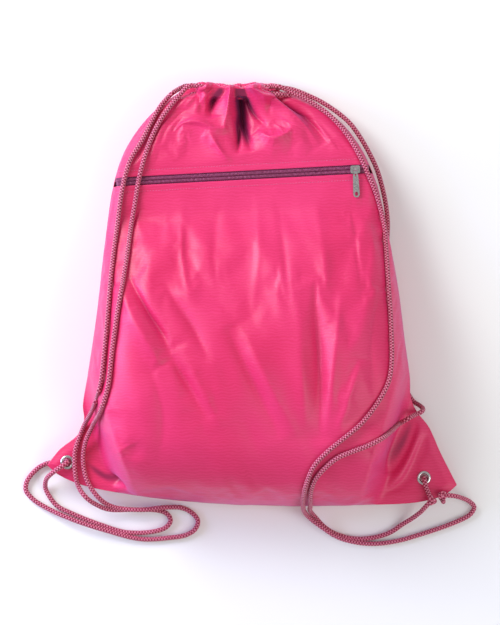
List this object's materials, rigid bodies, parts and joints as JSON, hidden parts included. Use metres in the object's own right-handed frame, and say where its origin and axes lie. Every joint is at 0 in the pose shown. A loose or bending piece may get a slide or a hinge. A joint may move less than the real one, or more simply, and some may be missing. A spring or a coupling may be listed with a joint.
{
  "type": "drawstring backpack",
  "caption": "Cinch sack with gathered neck, zipped front pocket and cord shoulder straps tied at corner eyelets, lying on its back.",
  "frame": {"origin": "under the middle of the bag, on the surface that its back lies on", "axes": "+X to the right seen from the front, +Y towards the neck, +Z out of the front"},
  "size_m": [0.4329, 0.443, 0.0954],
  "materials": {
    "polyester": "satin woven polyester, bright pink",
    "lining": "matt woven polyester",
    "zip_tape": "herringbone tape, dull maroon",
    "zip_coil": "nylon coil, dark plum",
    "cord": "braided polyester cord, pink with darker flecks",
    "nickel": "polished nickel plate"
  },
  "bodies": {
    "bag": {"back_panel": "polyester", "pocket_panel": "polyester", "yoke_panel": "polyester", "pocket_lining": "lining", "channel_front": "polyester", "channel_back": "polyester", "corner_patch_left": "lining", "corner_patch_right": "lining", "eyelet_left": "nickel", "eyelet_washer_left": "nickel", "eyelet_right": "nickel", "eyelet_washer_right": "nickel", "zip_tape_upper": "zip_tape", "zip_coil_upper": "zip_coil", "zip_tape_lower": "zip_tape", "zip_coil_lower": "zip_coil", "cord_left": "cord", "cord_right": "cord", "eyelet_loop_right": "cord", "knot_left": "cord", "knot_right_inner": "cord", "knot_right_outer": "cord"},
    "slider": {"zip_slider": "nickel"},
    "pull": {"zip_pull": "nickel"}
  },
  "joints": [
    {"name": "zip_slide", "type": "slide", "parent": "bag", "child": "slider", "axis": [-0.9986, -0.0523, 0], "range_m": [0, 0.193]},
    {"name": "pull_swing", "type": "hinge", "parent": "slider", "child": "pull", "pos_m": [0.09735, 0.1174, 0.0481], "axis": [-0.9986, -0.0523, 0], "range_deg": [0, 165]}
  ]
}
